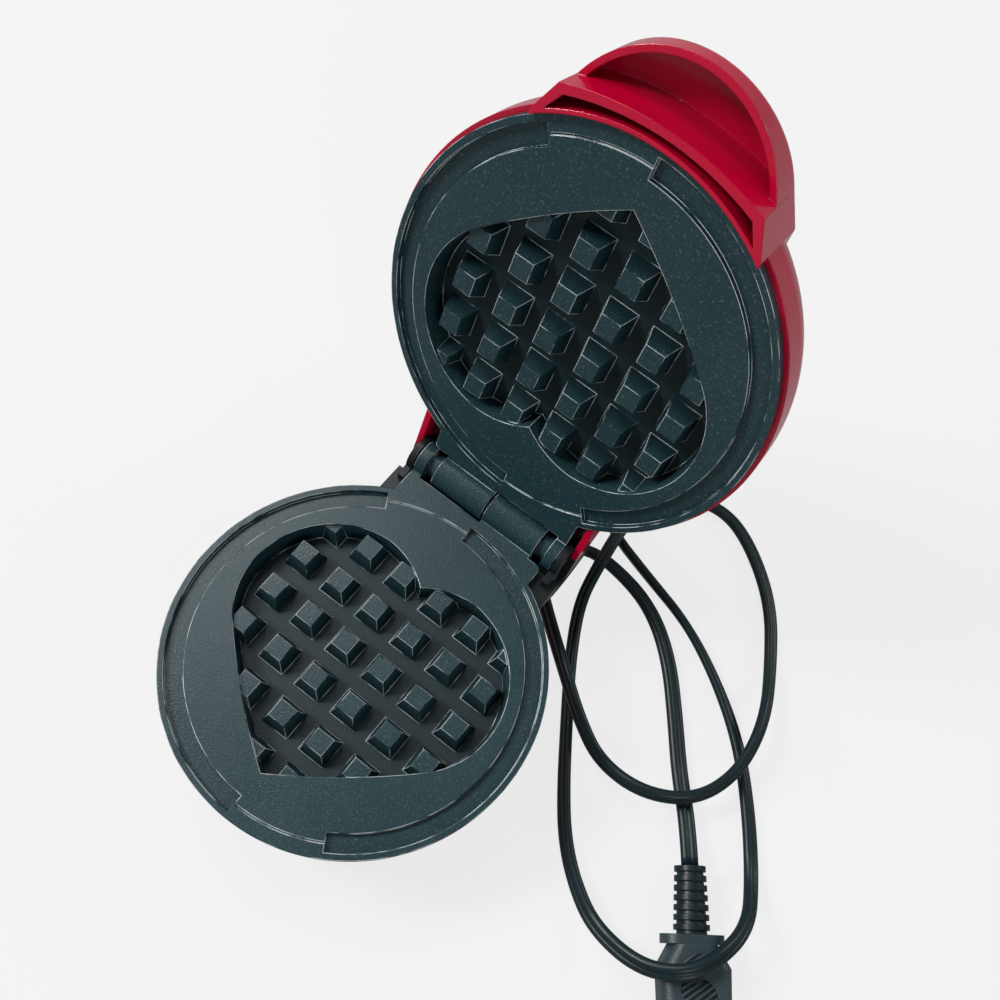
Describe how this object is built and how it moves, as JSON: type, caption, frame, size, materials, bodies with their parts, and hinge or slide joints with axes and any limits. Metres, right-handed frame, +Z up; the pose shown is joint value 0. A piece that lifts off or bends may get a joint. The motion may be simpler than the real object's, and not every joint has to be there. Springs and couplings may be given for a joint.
{
  "type": "mini waffle maker",
  "caption": "Small round waffle maker with two heart-shaped plates, hinged at the back and standing open, with a front handle tab and a loose mains cord.",
  "frame": {"origin": "on the table under the middle of the open appliance's box, measured without the free cord and its plug", "axes": "+Z up from the table, +X to the right seen from the handle side, +Y from the front of the base towards the hinge and the open lid"},
  "size_m": [0.227, 0.1988, 0.1707],
  "materials": {
    "plate_coating": "satin dark non-stick coating on cast aluminium",
    "reflector_aluminium": "pressed bare sheet",
    "element_steel": "heat-darkened tube",
    "screw_steel": "plain plated screws",
    "red_housing": "glossy crimson moulding",
    "foot_rubber": "matt black",
    "cord_pvc": "satin black flexible PVC",
    "black_plastic": "matt black moulding",
    "bracket_black": "satin black heat-resistant moulding",
    "pin_steel": "ground pin",
    "block_white": "natural insulating plastic",
    "blade_brass": "bright nickel-plated brass",
    "lens_amber": "clear amber moulding",
    "lamp_glass": "small neon lamp"
  },
  "bodies": {
    "base": {"lower_plate": "plate_coating", "lower_reflector": "reflector_aluminium", "lower_element": "element_steel", "lower_pan_screws": "screw_steel", "base_housing": "red_housing", "bottom_cover": "black_plastic", "cover_screws": "screw_steel", "foot_front_left": "foot_rubber", "foot_front_right": "foot_rubber", "foot_rear_left": "foot_rubber", "foot_rear_right": "foot_rubber", "hinge_bracket": "bracket_black", "hinge_pin": "pin_steel", "bracket_screws": "screw_steel", "thermostat": "reflector_aluminium", "thermal_fuse": "reflector_aluminium", "terminal_block": "block_white", "cord_boot": "cord_pvc", "power_cord": "cord_pvc", "plug_relief": "cord_pvc", "plug_body": "cord_pvc", "plug_blades": "blade_brass"},
    "lid": {"upper_plate": "plate_coating", "upper_reflector": "reflector_aluminium", "upper_element": "element_steel", "upper_pan_screws": "screw_steel", "lid_housing": "red_housing", "indicator_lens": "lens_amber", "indicator_lamp": "lamp_glass"}
  },
  "joints": [
    {"name": "lid_hinge", "type": "hinge", "parent": "base", "child": "lid", "pos_m": [0, 0.03033, 0.036], "axis": [1, 0, 0], "range_deg": [0, 109.6]}
  ]
}
